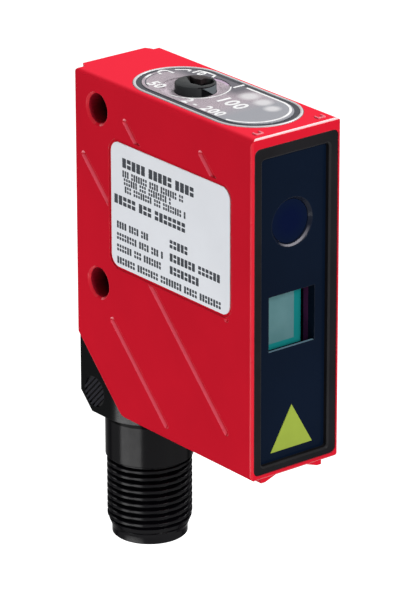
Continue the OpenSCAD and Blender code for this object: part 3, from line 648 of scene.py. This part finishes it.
NODE_MATERIALS = {
    "housing": red_paint(),
    "side_label": label_film(),
    "front_frame": FRAME_BLACK,
    "window_plate": window_plastic(),
    "window_seal": RUBBER,
    "laser_window": laser_glass(),
    "receiver_filter": filter_glass(),
    "front_mark": mark_print(),
    "dial_cover": cover_plastic(),
    "dial_seal": LIGHT_PLASTIC,
    "dial_film": dial_print(),
    "rotary_knob": KNOB_BLACK,
    "knob_seal": RUBBER,
    "rotary_switch": INNER_BLACK,
    "dial_board": BOARD,
    "status_leds": clear_glass("lamp_plastic", (0.9, 0.9, 0.8)),
    "light_guides": clear_glass("clear_plastic", (0.88, 0.9, 0.92)),
    "main_board": BOARD,
    "main_chips": INNER_BLACK,
    "optics_carrier": INNER_BLACK,
    "carrier_screws": STEEL,
    "laser_barrel": BRASS,
    "collimator_lens": clear_glass("collimator_glass", (0.9, 0.94, 0.97)),
    "laser_diode": GOLD,
    "receiver_lens": clear_glass("receiver_glass", (0.9, 0.94, 0.97)),
    "detector_board": BOARD,
    "detector_chip": INNER_BLACK,
    "swivel_block": block_plastic(),
    "threaded_stud": STUD_BLACK,
    "swivel_seal": RUBBER,
    "swivel_clip": STEEL,
    "contact_insert": INNER_BLACK,
    "contact_pins": GOLD,
}


def dress_nodes():
    for name, material in NODE_MATERIALS.items():
        node = NODES[name]
        node.data.materials.clear()
        node.data.materials.append(material)


# Mesh helpers: a shape is a list of points in millimetres and a list of faces

def add_object(name, data):
    made = bpy.data.objects.new(name, data)
    bpy.context.scene.collection.objects.link(made)
    return made


def piece(name, shape, material, body, angle=32):
    """A new mesh object that rides on a body. Edges sharper than the angle, in degrees, stay sharp."""
    points, faces = shape
    mesh = bpy.data.meshes.new(name)
    mesh.from_pydata([Vector(p) * MM for p in points], [], faces)
    mesh.update()
    mesh.materials.append(material)
    mesh.shade_smooth()
    mesh.set_sharp_from_angle(angle=math.radians(angle))
    made = add_object(name, mesh)
    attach(made, body)
    return made


def arc(centre, radius, start, end, steps=16):
    """Points of an arc between two angles in degrees."""
    points = []
    for i in range(steps + 1):
        angle = math.radians(start + (end - start) * i / steps)
        points.append((centre[0] + radius * math.cos(angle), centre[1] + radius * math.sin(angle)))
    return points


def rounded_loop(width, height, radius, steps=8):
    """Points of a rectangle with round corners, anticlockwise."""
    points = []
    for side, level, start in ((1, 1, 0), (-1, 1, 90), (-1, -1, 180), (1, -1, 270)):
        centre = (side * (width / 2 - radius), level * (height / 2 - radius))
        points += arc(centre, radius, start, start + 90, steps)
    return points


def loft(loops):
    """Faces between each loop and the next, and from the last to the first: a closed ring."""
    count = len(loops[0])
    points = [p for loop in loops for p in loop]
    faces = []
    for i in range(len(loops)):
        below = i * count
        above = (i + 1) % len(loops) * count
        for j in range(count):
            k = (j + 1) % count
            faces.append((below + j, below + k, above + k, above + j))
    return points, faces


def stack(loops):
    """Faces between each loop and the next, with flat ends."""
    points, faces = loft(loops)
    count = len(loops[0])
    last = len(points) - count
    return points, faces[:-count] + [tuple(reversed(range(count))), tuple(range(last, last + count))]


def ribbon(points, width, low, high):
    """A flat strip along points in the dial's plane, between two heights."""
    loops = []
    for i, (x, y) in enumerate(points):
        before = points[max(0, i - 1)]
        after = points[min(len(points) - 1, i + 1)]
        along = Vector((after[0] - before[0], after[1] - before[1])).normalized()
        side = Vector((-along.y, along.x)) * width / 2
        left, right = (x + side.x, y + side.y), (x - side.x, y - side.y)
        loops.append([(*left, high), (*right, high), (*right, low), (*left, low)])
    return stack(loops)


def gather(shapes):
    """Several shapes as one."""
    points, faces = [], []
    for shape_points, shape_faces in shapes:
        first = len(points)
        points += shape_points
        faces += [tuple(first + i for i in f) for f in shape_faces]
    return points, faces


def evaluated_mesh(holder):
    """A mesh of an object with its modifiers and its own form worked out."""
    bpy.context.view_layer.update()
    graph = bpy.context.evaluated_depsgraph_get()
    return bpy.data.meshes.new_from_object(holder.evaluated_get(graph))


def carve(body, cutters):
    """Cuts shapes, the cutters, out of a body."""
    holders = []
    for points, faces in (body, *cutters):
        mesh = bpy.data.meshes.new("solid")
        mesh.from_pydata(points, [], faces)
        holders.append(add_object("solid", mesh))
    for cutter in holders[1:]:
        cut = holders[0].modifiers.new("cut", "BOOLEAN")
        cut.operation, cut.solver, cut.object = "DIFFERENCE", "EXACT", cutter
    mesh = evaluated_mesh(holders[0])
    for holder in holders:
        bpy.data.objects.remove(holder)
    return [tuple(v.co) for v in mesh.vertices], [tuple(p.vertices) for p in mesh.polygons]


# Threaded stud

def thread_radius(z, angle):
    """Radius of the thread's helix at a height and an angle, held within the runout's cone."""
    root_share, flank_share = 0.08, 0.52
    turn = (THREAD_TOP - z) / THREAD_PITCH + angle / (2 * math.pi)
    phase = abs((turn % 1.0) - 0.5) * 2
    ridge = min(1.0, max(0.0, (phase - root_share) / flank_share))
    radius = THREAD_RADIUS - THREAD_DEPTH * (1 - ridge)
    if z >= THREAD_LOW:
        return radius
    up_cone = max(0.0, min(1.0, (z - RUNOUT_LOW) / RUNOUT_LENGTH))
    return min(radius, TIP_RADIUS + (THREAD_RADIUS - TIP_RADIUS) * up_cone)


def stud_outline():
    """Radius and height round the stud's section. A radius of None is the thread's."""
    root_r, bore_r = 3.2, 2.0
    shelf_radii = (4.6, 5.3)
    collar_r = THREAD_RADIUS + 0.2
    relief_r, relief_l, relief_end = THREAD_RADIUS - 0.3, 0.4, 0.04
    chamber_r = SOCKET_RADIUS - 0.4
    edge, step, mouth = 0.15, 0.1, 0.2
    insert_deep, insert_l = 8.2, 5.6
    collar_roof = 1.2
    samples = 14
    relief_top = THREAD_TOP + relief_l
    insert_top = STUD_TIP + insert_deep + insert_l
    chamber_top = COLLAR_TOP - collar_roof

    outline = [(bore_r, STUD_HIGH.z), (root_r, STUD_HIGH.z), (root_r, COLLAR_TOP)]
    outline += [(r, COLLAR_TOP) for r in shelf_radii]
    outline += [(collar_r - edge, COLLAR_TOP), (collar_r, COLLAR_TOP - edge)]
    outline += [(collar_r, relief_top + step), (collar_r - step, relief_top)]
    outline += [(relief_r, relief_top), (relief_r, THREAD_TOP + relief_end)]
    rows = int((THREAD_TOP - RUNOUT_LOW) / THREAD_PITCH * samples)
    outline += [(None, THREAD_TOP - i * THREAD_PITCH / samples) for i in range(rows + 1)]
    outline += [(TIP_RADIUS, RUNOUT_LOW - step), (TIP_RADIUS, STUD_TIP + edge)]
    outline += [(TIP_RADIUS - edge, STUD_TIP), (SOCKET_RADIUS + mouth, STUD_TIP)]
    outline += [(SOCKET_RADIUS, STUD_TIP + mouth), (SOCKET_RADIUS, insert_top)]
    outline += [(chamber_r, insert_top), (chamber_r, chamber_top), (bore_r, chamber_top)]
    return outline


def socket_key():
    """The key along the wall of the plug's socket."""
    width, height, sunk = 1.0, 0.7, 0.25
    foot, head = STUD_TIP + 0.6, STUD_TIP + 9.0
    inner = STUD_Y + SOCKET_RADIUS - height
    outer = inner + height + sunk
    corners = ((-width / 2, inner), (width / 2, inner), (width / 2, outer), (-width / 2, outer))
    return stack([[(x, y, z) for x, y in corners] for z in (foot, head)])


def threaded_stud():
    """The stud turned about its own axis and cut at 45 degrees, with the thread's helix on its outside."""
    cut_gap = 0.85 * math.sqrt(2)
    segments = 128
    loops = []
    for r, z in stud_outline():
        loop = []
        for j in range(segments):
            angle = 2 * math.pi * j / segments
            at = thread_radius(z, angle) if r is None else r
            cut_z = PIVOT.z + at * math.sin(angle) - cut_gap
            loop.append((at * math.cos(angle), STUD_Y + at * math.sin(angle), min(z, cut_z)))
        loops.append(loop)
    shape = gather([loft(loops), socket_key()])
    made = piece("stud_with_thread", shape, STUD_BLACK, "connector", 40)
    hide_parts("threaded_stud")


# Window frame with a chamfered inner edge

def window_frame():
    width = FRAME_HIGH.x - FRAME_LOW.x
    height = FRAME_HIGH.z - FRAME_LOW.z
    front, back = FRAME_LOW.y, FRAME_HIGH.y
    face_side, face_top, face_bottom = 1.35, 1.65, 1.05
    corner, inner_corner = 0.85, 0.45
    chamfer, lip, rebate, plate_overlap = 0.22, 0.08, 1.1, 0.06
    centre_z = (FRAME_LOW.z + FRAME_HIGH.z) / 2
    sight_w = width - 2 * face_side
    sight_h = height - face_top - face_bottom
    sight_z = centre_z + (face_bottom - face_top) / 2
    plate_y = PLATE_LOW.y + plate_overlap

    def loop(w, h, r, y, z):
        return [(u, y, z + v) for u, v in rounded_loop(w, h, r)]

    loops = [
        loop(width, height, corner, back, centre_z),
        loop(width, height, corner, front + lip, centre_z),
        loop(width - 2 * lip, height - 2 * lip, corner - lip, front, centre_z),
        loop(sight_w + 2 * chamfer, sight_h + 2 * chamfer, inner_corner + chamfer, front, sight_z),
        loop(sight_w, sight_h, inner_corner, front + chamfer, sight_z),
        loop(sight_w, sight_h, inner_corner, plate_y, sight_z),
        loop(sight_w + rebate, sight_h + rebate, inner_corner, plate_y, sight_z),
        loop(sight_w + rebate, sight_h + rebate, inner_corner, back, sight_z),
    ]
    made = piece("window_frame", loft(loops), FRAME_BLACK, "sensor")
    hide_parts("front_frame")


# Dial: its light rim, the edge of its dish, the knob, lines and plain numbers

def dial_rim():
    """The light seal round the dial cover, with half-round ends and a rounded top."""
    width, length, rim = 12.9, 28.3, 0.42
    sunk, crown, steps, sliver = 0.02, 0.13, 6, 0.001
    centre_y = (COVER_LOW.y + COVER_HIGH.y) / 2
    foot = COVER_LOW.z

    def loop(inset, z):
        w, h = width - 2 * inset, length - 2 * inset
        return [(u, centre_y + v, z) for u, v in rounded_loop(w, h, w / 2 - sliver, 24)]

    loops = [loop(0, foot), loop(0, TOP_Z - sunk)]
    for i in range(steps + 1):
        angle = math.pi * i / steps
        loops.append(loop(rim / 2 * (1 - math.cos(angle)), TOP_Z + crown * math.sin(angle)))
    loops.append(loop(rim, foot))
    made = piece("dial_rim", loft(loops), LIGHT_PLASTIC, "sensor")
    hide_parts("dial_seal")


def well_ring():
    """The pale edge of the film along the front of the knob's dish."""
    width, low, high = 0.18, TOP_Z + 0.05, TOP_Z + 0.16
    route = arc((0, KNOB_Y), DISH_RADIUS - 0.01, -172, -38, 40)
    shape = ribbon(route, width, low, high)
    piece("well_ring", shape, WHITE_INK, "sensor")


def knob_pocket(past):
    """The pocket in the knob's top, with its plan round the knob's axis. It reaches past the top."""
    plan = [(0.3, 2.38), (-1.01, -0.27), (-0.75, -0.9), (-0.56, -2.0), (-0.08, -2.05), (1.02, -2.15)]
    plan += [(1.8, -1.75), (2.36, -0.65), (1.66, 0.21), (0.93, 0.05), (0.62, 1.0), (0.83, 2.16)]
    return stack([[(x, KNOB_Y + y, z) for x, y in plan] for z in (KNOB_TOP - KNOB_POCKET, KNOB_TOP + past)])


def pointer_notch():
    """The three-cornered notch in the outer wall of the knob's pointer."""
    left, right, below_top, depth = -1.05, 1.3, 0.1, 1.5
    inner, outer = -2.4, -3.2
    high = KNOB_TOP - below_top
    corners = [(left, high), (left, high - depth), (right, high - depth)]
    return stack([[(x, KNOB_Y + y, z) for x, z in corners] for y in (inner, outer)])


def selector_knob():
    """A turned body with a pocket in its top and a notch in its pointer."""
    low, top, head_r = KNOB_LOW.z, KNOB_TOP, KNOB_RADIUS
    shaft_r, groove_r = 1.5, 2.35
    shoulder, groove_low, groove_high = low + 2.4, low + 3.25, low + 3.75
    edge = ((0, 0.25), (0.07, 0.08), (0.22, 0))
    outline = [(shaft_r, low), (shaft_r, shoulder), (head_r, shoulder), (head_r, groove_low)]
    outline += [(groove_r, groove_low), (groove_r, groove_high), (head_r, groove_high)]
    outline += [(head_r - inward, top - down) for inward, down in edge]
    loops = []
    for r, z in outline:
        circle = arc((0, KNOB_Y), r, 0, 360, 72)[:-1]
        loops.append([(x, y, z) for x, y in circle])
    shape = carve(stack(loops), [knob_pocket(past=0.5), pointer_notch()])
    made = piece("selector_knob", shape, KNOB_BLACK, "selector")
    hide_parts("rotary_knob")


DIAL_NUMBERS = (
    # text, height, place across, distance from the front, spacing
    ("1", 2.5, 4.6, 17.8, 1.0),
    ("100", 3.2, -0.4, 13.0, 1.1),
    ("2", 2.4, -4.3, 17.4, 1.0),
    ("200", 2.4, -4.3, 12.0, 1.15),
    ("10", 1.9, 4.1, 25.6, 1.15),
    ("50", 2.5, -3.4, 25.2, 1.1),
)


def digits(text, size, place, spacing):
    """Plain digits, lying on the dial and reading towards the front."""
    half_thick, swelling = 0.008, 0.075
    curve = bpy.data.curves.new("digits", "FONT")
    curve.body = text
    curve.size = size * MM
    curve.align_x = "CENTER"
    curve.align_y = "CENTER"
    curve.extrude = half_thick * MM
    curve.offset = swelling * MM
    curve.space_character = spacing
    curve.resolution_u = 3
    holder = add_object("digits", curve)
    turn = Matrix(((0, 1, 0, 0), (-1, 0, 0, 0), (0, 0, 1, 0), (0, 0, 0, 1)))
    holder.matrix_world = Matrix.Translation(Vector(place) * MM) @ turn
    mesh = evaluated_mesh(holder)
    mesh.transform(holder.matrix_world)
    bpy.data.objects.remove(holder)
    return [tuple(v.co / MM) for v in mesh.vertices], [tuple(p.vertices) for p in mesh.polygons]


def dial_pieces():
    """Lines and numbers in white ink, and a dark line inside the back one."""
    low, high = FILM_TOP, FILM_TOP + 0.015
    line_w, shade_w, shade_inset = 0.36, 0.14, 0.28
    radius = 5.1
    front_centre = (0, FRONT_Y + 9.3)
    back_centre = (0, FRONT_Y + 24.1)
    routes = [
        [(radius, FRONT_Y + 16.6)] + arc(front_centre, radius, 0, -170, 28),
        arc(back_centre, radius, 62, 38) + [(3.4, FRONT_Y + 26.9)],
        arc(back_centre, radius, 26, 2) + [(radius, FRONT_Y + 23.3), (radius - 0.8, FRONT_Y + 22.9)],
        arc(back_centre, radius, 122, 104),
        [(-0.2, FRONT_Y + 28.3)] + arc((0.65, FRONT_Y + 28.7), 0.75, 170, 10, 10) + [(1.4, FRONT_Y + 27.6)],
    ]
    lines = [ribbon(route, line_w, low, high) for route in routes]
    dash = [(-4.5, FRONT_Y + 15.9), (-4.5, FRONT_Y + 15.2)]
    numbers = [
        digits(text, size, (across, FRONT_Y + from_front, (low + high) / 2), spacing)
        for text, size, across, from_front, spacing in DIAL_NUMBERS
    ]
    numbers.append(ribbon(dash, line_w, low, high))
    shade = ribbon(arc(back_centre, radius - shade_inset, 165, 62, 24), shade_w, low, high)
    piece("dial_shade_line", shade, DARK_INK, "sensor", 20)
    piece("dial_lines", gather(lines), WHITE_INK, "sensor", 20)
    piece("dial_numbers", gather(numbers), WHITE_INK, "sensor", 20)


# Print on the label: rows of small plain blocks in place of text

LABEL_ROWS = (
    # start and end along the label from its left edge, centre above its lower edge, height, weight
    (2.5, 18.7, 15.2, 1.35, 1.3),
    (2.5, 15.9, 13.65, 0.95, 0.8),
    (2.8, 13.0, 12.6, 0.95, 0.8),
    (3.0, 16.1, 11.5, 0.95, 0.8),
    (0.7, 17.2, 9.7, 1.3, 1.25),
    (1.2, 8.4, 6.1, 1.0, 0.85),
    (12.7, 17.0, 6.6, 1.15, 1.15),
    (1.2, 11.4, 4.45, 1.0, 0.85),
    (12.7, 23.6, 4.7, 1.15, 1.15),
    (1.2, 10.8, 2.8, 1.0, 0.85),
    (12.7, 18.9, 2.9, 1.15, 1.15),
    (1.2, 23.9, 1.0, 1.0, 0.9),
)


def label_bar(start, end, low, high):
    """A thin bar on the label, between two distances from its left edge and two above its lower edge."""
    thick, corner = 0.012, 0.08
    across, up = (start + end) / 2, (low + high) / 2
    outline = rounded_loop(end - start, high - low, corner, 2)
    return stack([
        [(x, LABEL_HIGH.y - across - u, LABEL_LOW.z + up + v) for u, v in outline]
        for x in (LABEL_LOW.x, LABEL_LOW.x - thick)
    ])


def label_print():
    """Each row is made of groups of equal blocks in pairs, as long as the words of a line are."""
    draw = random.Random(7)
    width_share, gap_share, word_gap, split_share = 0.46, 0.16, 0.45, 0.16
    bars = []
    for start, end, centre, height, weight in LABEL_ROWS:
        place = start
        width, half = height * width_share * weight, height / 2
        while place < end - width:
            for _ in range(draw.randint(3, 8)):
                if place < end - width:
                    split = draw.choice((0.0, split_share)) * half
                    bars.append(label_bar(place, place + width, centre - half, centre - split))
                    bars.append(label_bar(place, place + width, centre + split, centre + half))
                    place += width + height * gap_share
            place += height * word_gap
    piece("label_blocks", gather(bars), DARK_INK, "sensor", 20)


# Camera at the photograph's viewing angle

def direction(azimuth, elevation):
    """From the object towards a camera or a lamp. Both angles are in degrees, and 0, 0 is the front."""
    a, e = math.radians(azimuth), math.radians(elevation)
    return Vector((math.sin(a) * math.cos(e), -math.cos(a) * math.cos(e), math.sin(e)))


def photo_camera():
    azimuth, elevation, roll = -38.59, 21.41, math.radians(-0.06)
    focal_px, frame_px, sensor = 4363.9, 600.0, 36.0
    distance, shift_x, shift_y = 0.5863, 0.58 * MM, -5.20 * MM
    back = direction(azimuth, elevation)
    level_right = (-back).cross(Vector((0, 0, 1))).normalized()
    level_up = level_right.cross(-back)
    right = level_right * math.cos(roll) + level_up * math.sin(roll)
    up = level_up * math.cos(roll) - level_right * math.sin(roll)
    place = VIEW_CENTRE * MM + back * distance + right * shift_x + up * shift_y
    data = bpy.data.cameras.new("camera")
    data.sensor_width = sensor
    data.lens = focal_px / frame_px * sensor
    data.clip_start, data.clip_end = 0.01, 20
    camera = add_object("camera", data)
    camera.matrix_world = Matrix((
        (right.x, up.x, back.x, place.x),
        (right.y, up.y, back.y, place.y),
        (right.z, up.z, back.z, place.z),
        (0, 0, 0, 1),
    ))
    bpy.context.scene.camera = camera


# World, floor and lamps

def background_rays(nodes, links):
    """1 for what the camera, a reflection or clear glass sees, and 0 for light on the object."""
    path = nodes.new("ShaderNodeLightPath")
    seen = path.outputs["Is Camera Ray"]
    for ray in ("Is Glossy Ray", "Is Transmission Ray"):
        larger = nodes.new("ShaderNodeMath")
        larger.operation = "MAXIMUM"
        links.new(seen, larger.inputs[0])
        links.new(path.outputs[ray], larger.inputs[1])
        seen = larger.outputs[0]
    return seen


def white_world(ambient):
    """White behind the object, and a dimmer, slightly blue light on it."""
    blueness = 1.02
    world = bpy.data.worlds.new("studio")
    bpy.context.scene.world = world
    world.use_nodes = True
    nodes, links = world.node_tree.nodes, world.node_tree.links
    nodes.clear()
    light = nodes.new("ShaderNodeBackground")
    light.inputs["Color"].default_value = (ambient, ambient, ambient * blueness, 1)
    white = nodes.new("ShaderNodeBackground")
    white.inputs["Color"].default_value = (1, 1, 1, 1)
    mix = nodes.new("ShaderNodeMixShader")
    output = nodes.new("ShaderNodeOutputWorld")
    links.new(background_rays(nodes, links), mix.inputs["Fac"])
    links.new(light.outputs[0], mix.inputs[1])
    links.new(white.outputs[0], mix.inputs[2])
    links.new(mix.outputs[0], output.inputs["Surface"])


def floor_white():
    """A matte grey that keeps shadow, and that glows white where it is seen."""
    grey = 0.35
    material = bpy.data.materials.new("floor_white")
    material.use_nodes = True
    nodes, links = material.node_tree.nodes, material.node_tree.links
    nodes.clear()
    matte = nodes.new("ShaderNodeBsdfDiffuse")
    matte.inputs["Color"].default_value = (grey, grey, grey, 1)
    glow = nodes.new("ShaderNodeEmission")
    links.new(background_rays(nodes, links), glow.inputs["Strength"])
    total = nodes.new("ShaderNodeAddShader")
    output = nodes.new("ShaderNodeOutputMaterial")
    links.new(matte.outputs[0], total.inputs[0])
    links.new(glow.outputs[0], total.inputs[1])
    links.new(total.outputs[0], output.inputs["Surface"])
    return material


def floor():
    """A square floor well below the object, which stands free in the photo. Sizes are in metres."""
    reach, drop = 4.0, 0.30
    level = BOTTOM_Z * MM - drop
    mesh = bpy.data.meshes.new("floor")
    corners = [(x * reach, y * reach, level) for x, y in ((-1, -1), (1, -1), (1, 1), (-1, 1))]
    mesh.from_pydata(corners, [], [(0, 1, 2, 3)])
    mesh.materials.append(floor_white())
    made = add_object("floor", mesh)


def lamp(name, azimuth, elevation, distance, size, level):
    """A lamp of a width and a height. At level 1 a surface that faces it shows its colour as written."""
    back = direction(azimuth, elevation)
    data = bpy.data.lights.new(name, "AREA")
    data.shape = "RECTANGLE"
    data.size, data.size_y = size
    data.energy = level * math.pi ** 2 * distance ** 2
    made = add_object(name, data)
    made.rotation_mode = "QUATERNION"
    made.location = VIEW_CENTRE * MM + back * distance
    made.rotation_quaternion = back.to_track_quat("Z", "Y")


dress_nodes()
threaded_stud()
window_frame()
dial_rim()
well_ring()
selector_knob()
dial_pieces()
label_print()

photo_camera()
white_world(0.25)
floor()
lamp("right_high_lamp", 105, 48, 0.9, (0.3, 0.3), 0.97)
lamp("front_lamp", -2, 25, 0.9, (0.35, 0.35), 0.9)
lamp("left_low_lamp", -90, -29, 0.45, (0.44, 0.07), 0.5)
lamp("back_lamp", 200, 25, 0.9, (0.4, 0.4), 0.3)

scene = bpy.context.scene
scene.view_settings.view_transform = "Standard"
